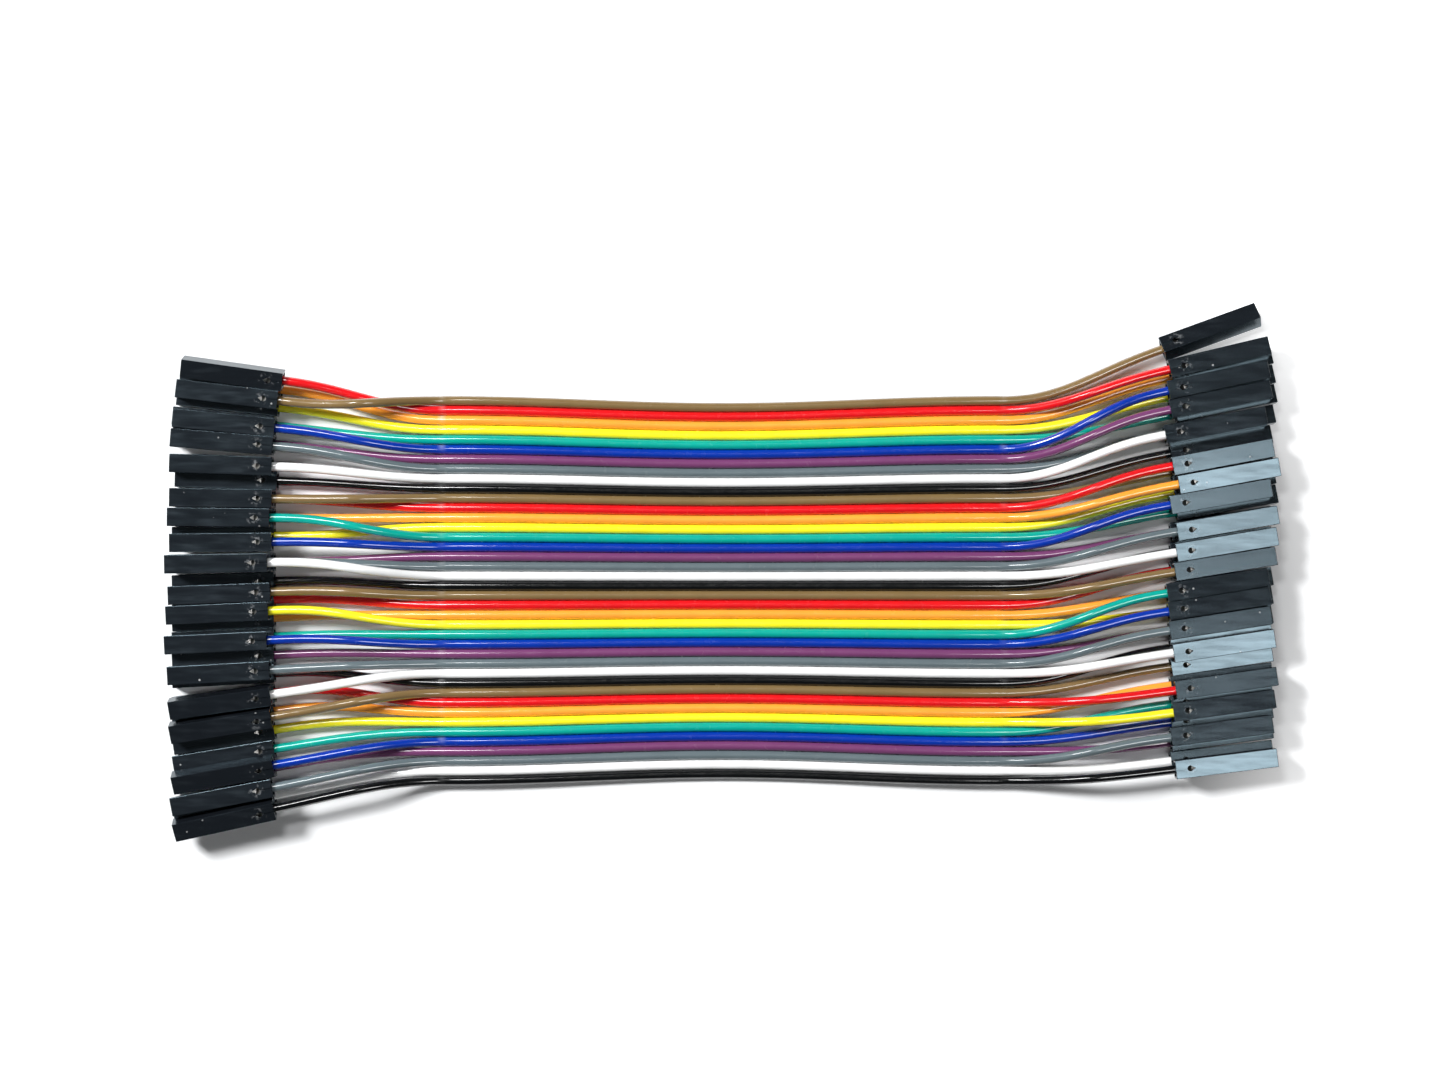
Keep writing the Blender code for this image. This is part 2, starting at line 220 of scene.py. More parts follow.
RIGHT_BLOCKS = (
    ((Place(1, 0.0, 20.0, -24.0, 1.2),),),
    (
        (Place(3, 1.2, 12.6, 0.0, -0.1), Place(4, 0.0, 12.0, 0.0, -0.4), Place(5, 0.0, 11.4, 0.0, -0.6)),
        (Place(2, 0.0, 13.4, 0.0, 0.5), Place(6, 0.3, 12.0, 0.0, 0.7), Place(7, 0.1, 11.4, 0.0, 0.4)),
    ),
    ((Place(8, 0.0, 11.0, 0.0, -0.4),), (Place(9, 0.0, 11.0, 0.0, 1.1),)),
    (
        (
            Place(10, 0.0, 10.7), Place(11, 0.0, 10.4),
            Place(14, 0.4, 10.1, 0.0, -0.4), Place(15, 0.1, 9.9, 0.0, -0.7),
        ),
        (Place(12, 1.8, 10.6, 0.0, 0.1), Place(13, 0.1, 10.3, 0.0, -0.7), Place(16, 0.1, 9.9, 0.0, 0.4)),
    ),
    ((Place(17, 0.1, 9.7),), (Place(18, 0.1, 9.7, 0.0, -0.5),)),
    (
        (Place(20, 0.1, 9.4), Place(22, 0.0, 9.2)),
        (Place(19, 0.2, 9.4, 0.0, -0.4), Place(21, 0.1, 9.2, 0.0, -0.2)),
    ),
    (
        (Place(23, 0.1, 9.0), Place(24, 0.0, 8.9)),
        (Place(25, 0.1, 9.0, 0.0, 0.85), Place(26, 0.0, 8.8, 0.0, 0.62)),
    ),
    (
        (Place(27, 0.0, 8.7), Place(30, 0.0, 8.6), Place(31, 0.0, 8.4)),
        (Place(28, 0.0, 8.7, 0.0, 0.5), Place(29, 0.6, 8.6)),
    ),
    (
        (Place(33, 0.0, 8.0), Place(35, 0.0, 7.8), Place(36, 0.0, 7.6), Place(37, 0.2, 7.4)),
        (Place(32, 0.6, 8.0, 0.0, -0.3), Place(34, 0.5, 7.8), Place(38, 0.8, 7.5, 0.0, 0.3)),
    ),
    ((Place(39, 0.0, 7.0),), (Place(40, 1.0, 7.0, 0.0, -0.3),)),
)
RIGHT_PILE_TOP = 32.5 * MM
# How far the right housings lean besides, by wire and in degrees: enough to turn their tops into or
# out of a lamp's mirror image, too little to move an edge by more than a third of a millimetre. A
# wire that isn't named has its housing in a lower row, and that leans by the one angle below.
RIGHT_LEANS: dict[int, float] = {
    2: -3.5, 6: -3.5, 7: -3.5, 9: -4.0, 12: 0.5, 13: 3.0, 16: -0.6, 18: 0.3, 19: 0.3, 21: -1.9,
    25: -6.3, 26: -5.7, 28: -3.5, 29: 0.9, 30: 0.0, 31: 0.0, 32: -4.3, 34: -6.0, 38: -5.6, 40: 0.0,
}
LOWER_ROW_LEAN = -5.0
# How far single wires arch up or sag between the bond and their housing, in metres.
ARCHES: dict[Side, dict[int, float]] = {
    Side.LEFT: {1: 1.5 * MM, 2: -1.1 * MM, 15: 0.4 * MM, 29: 0.3 * MM, 31: 0.4 * MM},
    Side.RIGHT: {5: -0.2 * MM, 6: 0.6 * MM, 25: 0.4 * MM},
}


@dataclass
class Pile:
    """The pile of housings at one end: seats each one against its neighbours, from +Y to -Y."""

    side: Side
    blocks: tuple
    top_y: float
    half_span: float = 61.5 * MM
    seam: float = 0.04 * MM
    block_gap: float = 0.06 * MM
    seated: list[dict[int, Seat]] = field(default_factory=list)

    def __post_init__(self) -> None:
        """Seat every block."""
        before = [Seat(self.side, self.half_span, self.top_y + self.block_gap, 0.0)]
        for block in self.blocks:
            rows = []
            for layer, row in enumerate(block):
                rows.append(self._row(row, layer * (SOCKET.width - self.seam), before))
            self.seated.append({wire: seat for row in rows for wire, seat in row.items()})
            before = [list(row.values())[-1] for row in rows]

    def _row(self, row: tuple, layer_z: float, before: list[Seat]) -> dict[int, Seat]:
        """Seat one row of a block, each housing against the one before it."""
        seats: dict[int, Seat] = {}
        neighbours, gap = before, self.block_gap
        for place in row:
            seats[place.wire] = self._below(place, layer_z, neighbours, gap)
            neighbours, gap = [seats[place.wire]], -self.seam
        return seats

    def _below(self, place: Place, layer_z: float, neighbours: list[Seat], gap: float) -> Seat:
        """Seat a housing on the -Y side of its neighbours, with a gap at the tightest corner."""
        yaw, roll = math.radians(place.yaw), math.radians(place.roll)
        half = SOCKET.width / 2 * (math.cos(roll) + abs(math.sin(roll)))
        end_x = self.half_span - place.reach * MM
        limits = []
        for other in neighbours:
            tight_x = max(end_x, abs(other.x))
            limit = other.lower_edge(tight_x) - gap
            limits.append(limit - half / math.cos(yaw) - math.tan(yaw) * (tight_x - end_x))
        y = min(limits) - place.lead * MM
        return Seat(self.side, self.side.value * end_x, y, layer_z + half, yaw, roll, half)

    def seats(self) -> dict[int, Seat]:
        """Every seat of the pile by wire number."""
        return {wire: seat for block in self.seated for wire, seat in block.items()}

    def corners(self) -> np.ndarray:
        """The outer corners of all housings."""
        half = SOCKET.width / 2
        box = np.array([
            (x, y, z) for x in (0.0, SOCKET.length) for y in (-half, half) for z in (-half, half)
        ])
        return np.vstack([seat.to_world(box) for seat in self.seats().values()])


@dataclass
class Layout:
    """Both piles, and the shift that puts the middle of their outline on the Z axis."""

    left: Pile = field(default_factory=lambda: Pile(Side.LEFT, LEFT_BLOCKS, LEFT_PILE_TOP))
    right: Pile = field(default_factory=lambda: Pile(Side.RIGHT, RIGHT_BLOCKS, RIGHT_PILE_TOP))

    def shift(self) -> np.ndarray:
        """What every point is moved by, as the part's source moves it."""
        corners = np.vstack([self.left.corners(), self.right.corners()])
        middle = (corners.min(axis=0) + corners.max(axis=0)) / 2
        return np.array([-middle[0], -middle[1], 0.0])


def smooth_step(share: np.ndarray) -> np.ndarray:
    """Rise from 0 to 1 with a level start and end: three times the square less twice the cube."""
    share = np.clip(share, 0.0, 1.0)
    return share * share * (3.0 - 2.0 * share)


@dataclass
class WireRoute:
    """The centreline of one wire, from inside its left housing to inside its right housing."""

    wire: int
    layout: Layout
    fan_steps: int = 34
    bond_steps: int = 56

    def ribbon_y(self, lift: np.ndarray | float) -> np.ndarray | float:
        """Place of the wire across the bonded ribbon, with lift as in WireSizes.gap."""
        return WIRE.centre_y + ((WIRE.count + 1) / 2 - self.wire) * (WIRE.diameter + WIRE.gap(lift))

    def fan(self, seat: Seat) -> np.ndarray:
        """Points from the end of the bond to the housing.

        Y follows a quintic step from the ribbon to the housing, with a second quintic that gives
        it the housing's own slope at the end; Z follows a smooth step, plus an arch of squared sine.

        Args:
            seat: the housing that the wire enters.

        Returns:
            Rows of x, y, z.
        """
        share = np.linspace(0.0, 1.0, self.fan_steps + 1)
        run = abs(seat.x) - WIRE.bond_half
        cross = share ** 3 * (10.0 - 15.0 * share + 6.0 * share ** 2)
        lean = share ** 3 * (-4.0 + 7.0 * share - 3.0 * share ** 2)
        start_y = self.ribbon_y(1.0)
        y = start_y + (seat.y - start_y) * cross + math.tan(seat.yaw) * run * lean
        z = WIRE.end_z + (seat.z - WIRE.end_z) * smooth_step(share / WIRE.rise_share)
        z += ARCHES[seat.side].get(self.wire, 0.0) * np.sin(np.pi * share) ** 2
        x = seat.side.value * (WIRE.bond_half + run * share)
        return np.column_stack([x, y, z])

    def bond(self) -> np.ndarray:
        """Points of the bonded stretch, a cosine that draws the wires together and down to the floor."""
        share = np.linspace(-1.0, 1.0, self.bond_steps + 1)[1:-1]
        lift = (1.0 - np.cos(np.pi * share)) / 2
        y = self.ribbon_y(lift)
        z = WIRE.middle_z + (WIRE.end_z - WIRE.middle_z) * lift
        return np.column_stack([share * WIRE.bond_half, y, z])

    def points(self) -> np.ndarray:
        """The whole centreline, in the part's frame."""
        left = self.layout.left.seats()[self.wire]
        right = self.layout.right.seats()[self.wire]
        depth = np.array([[WIRE.end_depth, 0.0, 0.0]])
        line = np.vstack([
            left.to_world(depth),
            left.to_world(depth / 2),
            self.fan(left)[::-1],
            self.bond(),
            self.fan(right),
            right.to_world(depth / 2),
            right.to_world(depth),
        ])
        return line + self.layout.shift()

    def exit(self) -> np.ndarray:
        """The middle of the left housing's wire end, where the wire comes out."""
        return self.fan(self.layout.left.seats()[self.wire])[-1] + self.layout.shift()


class Bench:
    """A material's node tree, with short calls to add nodes and to join them."""

    def __init__(self, name: str) -> None:
        """Start a material with a Principled shader."""
        self.material = bpy.data.materials.new(name)
        self.material.use_nodes = True
        self.tree = self.material.node_tree
        self.shader = self.tree.nodes["Principled BSDF"]

    def add(self, kind: str, **settings: object) -> bpy.types.Node:
        """Add a node and set its properties, or its sockets where a name is no property.

        Args:
            kind: the node's type without its ShaderNode prefix.
            settings: values by property or by socket name, with _ for a space.

        Returns:
            The new node.
        """
        node = self.tree.nodes.new("ShaderNode" + kind)
        for key, value in settings.items():
            if hasattr(node, key):
                setattr(node, key, value)
            else:
                node.inputs[key.replace("_", " ")].default_value = value
        return node

    def join(self, source: bpy.types.NodeSocket, target: bpy.types.NodeSocket) -> None:
        """Join one socket to another."""
        self.tree.links.new(source, target)

    def noise(
        self, where: bpy.types.NodeSocket, scale: float, detail: float = 2.0,
    ) -> bpy.types.NodeSocket:
        """Noise of a scale on the given coordinates."""
        node = self.add("TexNoise", Scale=scale, Detail=detail)
        self.join(where, node.inputs["Vector"])
        return node.outputs["Fac"]

    def spread(
        self, value: bpy.types.NodeSocket, low: float, high: float, to_low: float, to_high: float,
    ) -> bpy.types.NodeSocket:
        """Map a value from one range to another, held at both ends."""
        node = self.add("MapRange", From_Min=low, From_Max=high, To_Min=to_low, To_Max=to_high)
        self.join(value, node.inputs["Value"])
        return node.outputs["Result"]

    def blend(self, share: bpy.types.NodeSocket, first: object, second: object) -> bpy.types.NodeSocket:
        """Mix two colours, each a colour or a socket."""
        node = self.add("Mix", data_type="RGBA")
        self.join(share, node.inputs["Factor"])
        for value, socket in ((first, node.inputs[6]), (second, node.inputs[7])):
            if isinstance(value, bpy.types.NodeSocket):
                self.join(value, socket)
            else:
                socket.default_value = (*value, 1.0)
        return node.outputs[2]

    def maths(self, operation: str, first: object, second: object = 0.0) -> bpy.types.NodeSocket:
        """Combine two values, each a number or a socket."""
        node = self.add("Math", operation=operation)
        for value, socket in ((first, node.inputs[0]), (second, node.inputs[1])):
            if isinstance(value, bpy.types.NodeSocket):
                self.join(value, socket)
            else:
                socket.default_value = value
        return node.outputs[0]

    def stretched(
        self, where: bpy.types.NodeSocket, scale: tuple[float, float, float],
    ) -> bpy.types.NodeSocket:
        """Coordinates scaled by a factor on each axis."""
        node = self.add("Mapping")
        node.inputs["Scale"].default_value = scale
        self.join(where, node.inputs["Vector"])
        return node.outputs["Vector"]

    def set(self, **values: object) -> None:
        """Set sockets of the shader by name, with _ for a space."""
        for name, value in values.items():
            self.shader.inputs[name.replace("_", " ")].default_value = value

    def wire_up(self, **sockets: bpy.types.NodeSocket) -> None:
        """Join sockets to the shader's own by name, with _ for a space."""
        for name, socket in sockets.items():
            self.join(socket, self.shader.inputs[name.replace("_", " ")])

    def bump(self, height: bpy.types.NodeSocket, distance: float) -> None:
        """Give the shader a relief of that height in metres."""
        node = self.add("Bump", Distance=distance, Strength=1.0)
        self.join(height, node.inputs["Height"])
        self.wire_up(Normal=node.outputs["Normal"])


@dataclass(frozen=True)
class PvcFinish:
    """Glossy wire insulation, drawn smooth over a stranded core and marked where the bond ends."""

    insulation: Insulation
    colour: tuple[float, float, float]
    roughness: float = 0.22
    skin: float = 0.09
    dulling: float = 0.92
    relief: float = 0.012 * MM

    def make(self) -> bpy.types.Material:
        """Build the material."""
        bench = Bench(f"pvc_{self.insulation.name.lower()}")
        bench.set(IOR=1.5, Specular_IOR_Level=0.3)
        bench.set(Coat_Weight=1.0, Coat_Roughness=self.skin, Coat_IOR=1.75)
        uv = bench.add("UVMap", uv_map="wire").outputs["UV"]
        spot = bench.add("TexCoord").outputs["Object"]
        patches = bench.noise(spot, 260.0)
        dull = tuple(channel * self.dulling for channel in self.colour)
        base = bench.blend(bench.spread(patches, 0.35, 0.65, 0.0, 1.0), self.colour, dull)
        nick = bench.add("Attribute", attribute_name="nick").outputs["Fac"]
        pale = tuple(0.5 * channel + 0.4 for channel in self.colour)
        rubbed = bench.noise(spot, 900.0)
        gloss = bench.spread(rubbed, 0.3, 0.7, self.roughness - 0.04, self.roughness + 0.06)
        bench.wire_up(Base_Color=bench.blend(nick, base, pale), Roughness=gloss)
        lay = bench.noise(bench.stretched(uv, (6.0, 1.0, 1.0)), 2.2, 1.0)
        grain = bench.noise(spot, 2600.0)
        bench.bump(bench.maths("ADD", lay, bench.maths("MULTIPLY", grain, 0.12)), self.relief)
        return bench.material


@dataclass(frozen=True)
class SocketPlastic:
    """Satin black moulded plastic with fine grain, rub marks, dust specks and, by the window, pale scuffs
    that also paint a glint of the metal inside.
    """

    name: str = "socket_plastic"
    colour: tuple[float, float, float] = (0.006, 0.0075, 0.01)
    worn: tuple[float, float, float] = (0.014, 0.017, 0.021)
    dust: tuple[float, float, float] = (0.35, 0.36, 0.36)
    # Pale marks round the latch window: partly scuffs, partly a painted glint of the contact metal seen
    # through it.
    scratch_and_glint: tuple[float, float, float] = (0.24, 0.25, 0.26)
    sheen: tuple[float, float, float] = (0.64, 0.87, 1.0)
    roughness: float = 0.18
    relief: float = 0.003 * MM

    def make(self) -> bpy.types.Material:
        """Build the material."""
        bench = Bench(self.name)
        bench.set(Specular_Tint=(*self.sheen, 1.0), IOR=1.58, Specular_IOR_Level=0.85)
        spot = bench.add("TexCoord").outputs["Object"]
        rubbed = bench.noise(bench.stretched(spot, (0.25, 1.6, 1.0)), 900.0, 5.0)
        cloudy = bench.noise(spot, 220.0, 3.0)
        marks = bench.spread(bench.maths("MULTIPLY", rubbed, cloudy), 0.27, 0.4, 0.0, 0.55)
        base = bench.blend(marks, self.colour, self.worn)
        specks = bench.add("TexVoronoi", Scale=620.0)
        bench.join(spot, specks.inputs["Vector"])
        speck = bench.spread(specks.outputs["Distance"], 0.05, 0.11, 1.0, 0.0)
        where = bench.spread(bench.noise(spot, 330.0), 0.56, 0.62, 0.0, 1.0)
        base = bench.blend(bench.maths("MULTIPLY", speck, where), base, self.dust)
        # Pale scratches near the window, which also paint the glint of the metal inside it.
        picked = bench.spread(bench.noise(spot, 1900.0, 3.0), 0.55, 0.7, 0.0, 0.8)
        scratches_and_glints = bench.maths("MULTIPLY", self._near_window(bench), picked)
        gloss = bench.spread(rubbed, 0.3, 0.7, self.roughness - 0.03, self.roughness + 0.06)
        bench.wire_up(Base_Color=bench.blend(scratches_and_glints, base, self.scratch_and_glint), Roughness=gloss)
        grain = bench.noise(spot, 5200.0, 3.0)
        waves = bench.noise(spot, 380.0, 1.0)
        bench.bump(bench.maths("ADD", waves, bench.maths("MULTIPLY", grain, 0.25)), self.relief)
        return bench.material

    @staticmethod
    def _near_window(bench: Bench) -> bpy.types.NodeSocket:
        """How near a point is to the latch window of its own housing, from 0 to 0.9."""
        reach = bench.add("VectorMath", operation="DISTANCE")
        bench.join(bench.add("Attribute", attribute_name="socket").outputs["Vector"], reach.inputs[0])
        middle = SOCKET.window_start + SOCKET.window_length / 2
        reach.inputs[1].default_value = (middle / MM, 0.0, SOCKET.width / 2 / MM)
        return bench.spread(reach.outputs["Value"], 0.4, 1.2, 0.9, 0.0)


@dataclass(frozen=True)
class ContactMetal:
    """Tin-plated contact metal."""

    name: str = "contact_metal"
    colour: tuple[float, float, float] = (0.62, 0.61, 0.58)
    roughness: float = 0.32
    tarnishing: float = 0.7
    relief: float = 0.01 * MM

    def make(self) -> bpy.types.Material:
        """Build the material."""
        bench = Bench(self.name)
        bench.set(Metallic=1.0)
        spot = bench.add("TexCoord").outputs["Object"]
        tarnish = bench.noise(spot, 1500.0, 4.0)
        dark = tuple(channel * self.tarnishing for channel in self.colour)
        base = bench.blend(bench.spread(tarnish, 0.35, 0.7, 0.0, 1.0), self.colour, dark)
        gloss = bench.spread(tarnish, 0.3, 0.7, self.roughness - 0.08, self.roughness + 0.14)
        bench.wire_up(Base_Color=base, Roughness=gloss)
        bench.bump(bench.noise(spot, 4200.0, 2.0), self.relief)
        return bench.material


def add_object(name: str, data: bpy.types.ID) -> bpy.types.Object:
    """Put a new object with that data in the scene."""
    item = bpy.data.objects.new(name, data)
    bpy.context.scene.collection.objects.link(item)
    return item


def shade(mesh: bpy.types.Mesh, sharp_from: float) -> None:
    """Shade a mesh smooth, but for the edges that turn by more than an angle in degrees."""
    mesh.polygons.foreach_set("use_smooth", np.ones(len(mesh.polygons), bool))
    mesh.set_sharp_from_angle(angle=math.radians(sharp_from))


def mesh_from_rings(name: str, rings: np.ndarray, loop_rings: bool) -> bpy.types.Mesh:
    """Join rings of points into a closed skin.

    Args:
        name: name of the mesh.
        rings: array of rings, points and coordinates; each ring runs the same way round.
        loop_rings: True joins the last ring to the first, as in a hollow shell; False closes both
            ends with a face.

    Returns:
        The mesh.
    """
    ring_count, point_count = rings.shape[:2]
    last = ring_count if loop_rings else ring_count - 1
    ring = np.arange(last)[:, None]
    step = np.arange(point_count)[None, :]
    here, there = ring * point_count, (ring + 1) % ring_count * point_count
    after = (step + 1) % point_count
    quads = np.stack([here + step, here + after, there + after, there + step], axis=-1).reshape(-1, 4)
    faces = quads.tolist()
    if not loop_rings:
        faces.append(list(range(point_count - 1, -1, -1)))
        faces.append(list(range((ring_count - 1) * point_count, ring_count * point_count)))
    mesh = bpy.data.meshes.new(name)
    mesh.from_pydata(rings.reshape(-1, 3).tolist(), [], faces)
    return mesh


def rounded_square(half: float, corner: float, corner_steps: int = 3) -> np.ndarray:
    """Outline of a square with round corners, across x: four quarter circles in turn.

    Args:
        half: half the width of the square.
        corner: radius of its corners.
        corner_steps: points on each corner, less one.

    Returns:
        Rows of y, z, anticlockwise as seen from +x.
    """
    quarter = np.linspace(0.0, np.pi / 2, corner_steps + 1)
    angles = np.concatenate([quarter + turn * np.pi / 2 for turn in range(4)])
    signs = np.repeat([(1, 1), (-1, 1), (-1, -1), (1, -1)], corner_steps + 1, axis=0)
    return signs * (half - corner) + corner * np.column_stack([np.cos(angles), np.sin(angles)])


def square_loft(
    name: str, stations: list[tuple[float, float, float]], loop_rings: bool,
) -> bpy.types.Mesh:
    """Loft of rounded squares at stations of x, half width and corner radius."""
    rings = []
    for x, half, corner in stations:
        outline = rounded_square(half, corner)
        rings.append(np.column_stack([np.full(len(outline), x), outline]))
    return mesh_from_rings(name, np.array(rings), loop_rings)


def cut(base: bpy.types.Mesh, cutter: bpy.types.Mesh) -> bpy.types.Mesh:
    """Cut one mesh from another and give the result."""
    target = add_object("target", base)
    tool = add_object("tool", cutter)
    modifier = target.modifiers.new("cut", "BOOLEAN")
    modifier.operation = "DIFFERENCE"
    modifier.solver = "EXACT"
    modifier.object = tool
    bpy.context.view_layer.update()
    evaluated = target.evaluated_get(bpy.context.evaluated_depsgraph_get())
    result = bpy.data.meshes.new_from_object(evaluated)
    for item in (target, tool):
        bpy.data.objects.remove(item, do_unlink=True)
    return result


@dataclass
class SocketHousing:
    """One moulded housing in its own frame: x from the wire end to the mouth, z through the window."""

    sizes: SocketSizes = SOCKET

    def shell(self) -> bpy.types.Mesh:
        """The hollow body, from the wire end round the outside, in at the mouth and back inside."""
        s = self.sizes
        outer, cavity, mouth = s.width / 2, s.width / 2 - s.wall, s.mouth / 2
        edge, inner, eased = s.edge, s.inner_edge, s.edge * 0.3
        return square_loft("shell", [
            (0.0, outer - edge, edge),
            (eased, outer - eased, edge),
            (edge, outer, edge),
            (s.length - edge, outer, edge),
            (s.length - eased, outer - eased, edge),
            (s.length, outer - edge, edge),
            (s.length, mouth + s.lead_in, inner),
            (s.length - s.lead_in, mouth, inner),
            (s.length - s.front_wall, mouth, inner),
            (s.length - s.front_wall, cavity, inner),
            (edge, cavity, inner),
            (0.0, cavity + edge, inner),
        ], loop_rings=True)

    def window_cutter(self) -> bpy.types.Mesh:
        """The latch window: a drop that points to the mouth, cut through the roof."""
        s = self.sizes
        across = s.window_width / 2
        turn = np.linspace(math.radians(35.0), math.radians(170.0), 8)
        body = np.column_stack([s.window_start + across * (1.0 + np.cos(turn)), across * np.sin(turn)])
        tip = np.array([[s.window_start + s.window_length, 0.04 * MM]])
        half = np.vstack([tip, body])
        return self._carry_down("window", half, 1.6 * s.wall)

    def slit_cutter(self) -> bpy.types.Mesh:
        """The shallow groove from the wire end to the window."""
        s = self.sizes
        half = np.array([[s.window_start + 0.15 * MM, s.slit_width / 2], [-s.wall, s.slit_width / 2]])
        return self._carry_down("slit", half, 0.6 * s.wall)

    def _carry_down(self, name: str, half: np.ndarray, depth: float) -> bpy.types.Mesh:
        """Close half an outline over the X axis and carry it from above the roof down to a depth."""
        outline = np.vstack([half, (half * [1.0, -1.0])[::-1]])
        top = self.sizes.width / 2
        levels = (top - depth, top + self.sizes.wall)
        rings = [np.column_stack([outline, np.full(len(outline), z)]) for z in levels]
        return mesh_from_rings(name, np.array(rings), loop_rings=False)

    def mesh(self) -> bpy.types.Mesh:
        """The finished housing."""
        return cut(cut(self.shell(), self.window_cutter()), self.slit_cutter())


@dataclass
class SocketContact:
    """The crimped contact inside a housing: a folded square sleeve and the crimp round the wire."""

    sizes: SocketSizes = SOCKET

    def sleeve(self) -> bpy.types.Mesh:
        """The square sleeve that takes the pin, open at both ends."""
        s = self.sizes
        outer, bore, corner = 0.8 * MM, 0.56 * MM, 0.12 * MM
        start, end = s.sleeve_start, s.length - s.front_wall - s.sleeve_play
        return square_loft("sleeve", [
            (start, outer, corner),
            (end, outer, corner),
            (end, bore, 0.04 * MM),
            (start, bore, 0.04 * MM),
        ], loop_rings=True)

    def crimp(self) -> bpy.types.Mesh:
        """The barrel of the crimp, with the raised tail that catches under the latch window."""
        stations = [
            (1.5 * MM, 0.4 * MM, 0.1 * MM),
            (1.6 * MM, 0.88 * MM, 0.15 * MM),
            (2.25 * MM, 0.42 * MM, 0.15 * MM),
            (3.0 * MM, 0.5 * MM, 0.4 * MM),
            (3.2 * MM, 0.62 * MM, 0.4 * MM),
            (4.6 * MM, 0.62 * MM, 0.4 * MM),
            (5.3 * MM, 0.74 * MM, 0.2 * MM),
        ]
        return square_loft("crimp", stations, loop_rings=False)

    def meshes(self) -> list[bpy.types.Mesh]:
        """Both parts of the contact."""
        return [self.sleeve(), self.crimp()]


def mesh_arrays(mesh: bpy.types.Mesh) -> tuple[np.ndarray, list[list[int]]]:
    """The points and the faces of a mesh."""
    points = np.empty(len(mesh.vertices) * 3)
    mesh.vertices.foreach_get("co", points)
    return points.reshape(-1, 3), [list(face.vertices) for face in mesh.polygons]


def gather(
    name: str, shapes: list[bpy.types.Mesh], seats: list[Seat], shift: np.ndarray,
) -> bpy.types.Object:
    """Put a copy of each shape at each seat, all in one object.

    Args:
        name: name of the new piece.
        shapes: meshes in the housing's own frame.
        seats: where the copies go.
        shift: what the whole layout is moved by.

    Returns:
        The new object, with flat faces, and each point's place in its own housing, in millimetres,
        as the socket attribute.
    """
    points, local, faces, base = [], [], [], 0
    for seat in seats:
        for shape in shapes:
            own, own_faces = mesh_arrays(shape)
            local.append(own / MM)
            points.append(seat.to_world(own) + shift)
            faces += [[index + base for index in face] for face in own_faces]
            base += len(own)
    mesh = bpy.data.meshes.new(name)
    mesh.from_pydata(np.vstack(points).tolist(), [], faces)
    socket = mesh.attributes.new("socket", "FLOAT_VECTOR", "POINT")
    socket.data.foreach_set("vector", np.vstack(local).ravel())
    shade(mesh, 12.0)
    return add_object(name, mesh)


